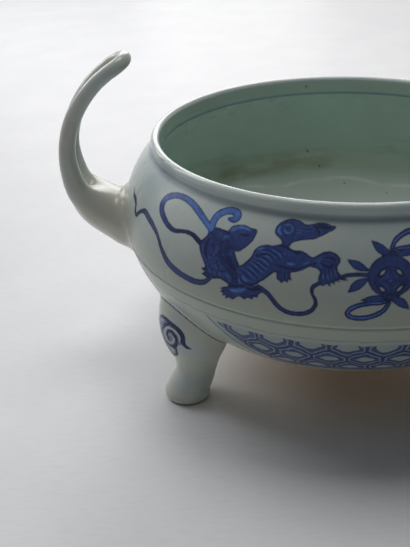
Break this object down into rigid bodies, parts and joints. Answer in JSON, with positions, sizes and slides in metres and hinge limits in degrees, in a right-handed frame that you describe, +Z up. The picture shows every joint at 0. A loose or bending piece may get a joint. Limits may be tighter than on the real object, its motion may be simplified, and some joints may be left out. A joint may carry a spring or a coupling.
{
  "type": "tripod incense burner",
  "caption": "Low round porcelain censer with rolled rim, upright loop handles and short cabriole legs, painted in underglaze blue with a lion and brocade ball.",
  "frame": {"origin": "on the table surface, under the vertical axis of the bowl", "axes": "+Z up, -Y to the painted front, handles on -X and +X"},
  "size_m": [0.299, 0.2358, 0.17],
  "materials": {
    "bowl_glaze": "gloss",
    "handle_glaze": "gloss",
    "leg_glaze": "gloss"
  },
  "bodies": {
    "root": {"upper_wall": "bowl_glaze", "lower_bowl": "bowl_glaze", "left_handle": "handle_glaze", "right_handle": "handle_glaze", "front_left_leg": "leg_glaze", "front_right_leg": "leg_glaze", "rear_leg": "leg_glaze"}
  },
  "joints": []
}
